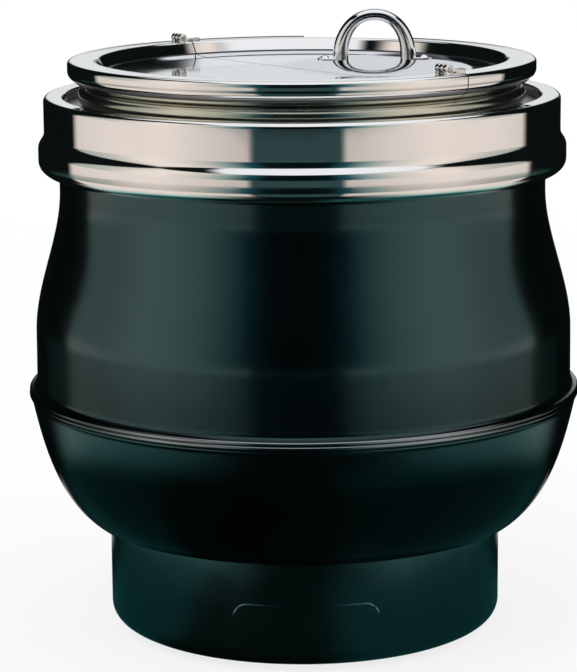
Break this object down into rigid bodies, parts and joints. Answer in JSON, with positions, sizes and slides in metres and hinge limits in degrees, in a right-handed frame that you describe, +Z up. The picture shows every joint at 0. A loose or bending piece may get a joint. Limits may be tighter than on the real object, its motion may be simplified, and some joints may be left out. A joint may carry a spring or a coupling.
{
  "type": "soup kettle",
  "caption": "Electric soup kettle: black rounded body on a drum base, polished collar, lift-out pot in a heated water bath, half-hinged steel lid with an arch handle.",
  "frame": {"origin": "middle of the base, on the surface that the feet stand on", "axes": "+Z up; front towards -Y; thermostat knob towards +Y"},
  "size_m": [0.3399, 0.34, 0.375],
  "materials": {
    "body_paint": "gloss",
    "collar_steel": "polished",
    "lid_steel": "polished",
    "pot_steel": "satin",
    "bath_steel": "satin",
    "plate_steel": "satin",
    "zinc": "plated",
    "element_steel": "satin",
    "foot_rubber": "matte",
    "gland_plastic": "matte",
    "ceramic": "matte",
    "copper": "plain",
    "contact_brass": "plain",
    "lamp_red": "gloss",
    "knob_plastic": "satin"
  },
  "bodies": {
    "kettle": {"base_drum": "body_paint", "base_plate": "plate_steel", "base_plate_screws": "zinc", "feet": "foot_rubber", "drum_screws": "zinc", "lower_bowl": "body_paint", "upper_shell": "body_paint", "collar": "collar_steel", "water_bath": "bath_steel", "tie_studs": "zinc", "tie_nuts": "zinc", "heating_element": "element_steel", "element_plate": "plate_steel", "element_studs": "zinc", "element_nuts": "zinc", "thermostat": "ceramic", "thermostat_nut": "zinc", "thermostat_bulb": "copper", "bulb_clip": "zinc", "overheat_cutout": "ceramic", "terminal_block": "ceramic", "terminal_screws": "contact_brass", "earth_stud": "contact_brass", "lamp_lens": "lamp_red", "lamp_holder": "gland_plastic", "cord_gland": "gland_plastic", "gland_nut": "gland_plastic"},
    "pot": {"soup_pot": "pot_steel"},
    "lid": {"lid_fixed_half": "lid_steel", "hinge_pins": "zinc"},
    "flap": {"lid_flap": "lid_steel", "lid_handle": "lid_steel", "handle_rivets": "lid_steel"},
    "knob": {"thermostat_knob": "knob_plastic", "spindle": "zinc"}
  },
  "joints": [
    {"name": "pot_lift", "type": "slide", "parent": "kettle", "child": "pot", "axis": [0, 0, 1], "range_m": [0, 0.24]},
    {"name": "lid_lift", "type": "slide", "parent": "pot", "child": "lid", "axis": [0, 0, 1], "range_m": [0, 0.12]},
    {"name": "flap_hinge", "type": "hinge", "parent": "lid", "child": "flap", "pos_m": [0.00118, 0.00092, 0.3549], "axis": [0.6143, -0.7891, 0], "range_deg": [0, 165]},
    {"name": "knob_turn", "type": "hinge", "parent": "kettle", "child": "knob", "pos_m": [0, 0.1215, 0.038], "axis": [0, -1, 0], "range_deg": [0, 270]}
  ]
}
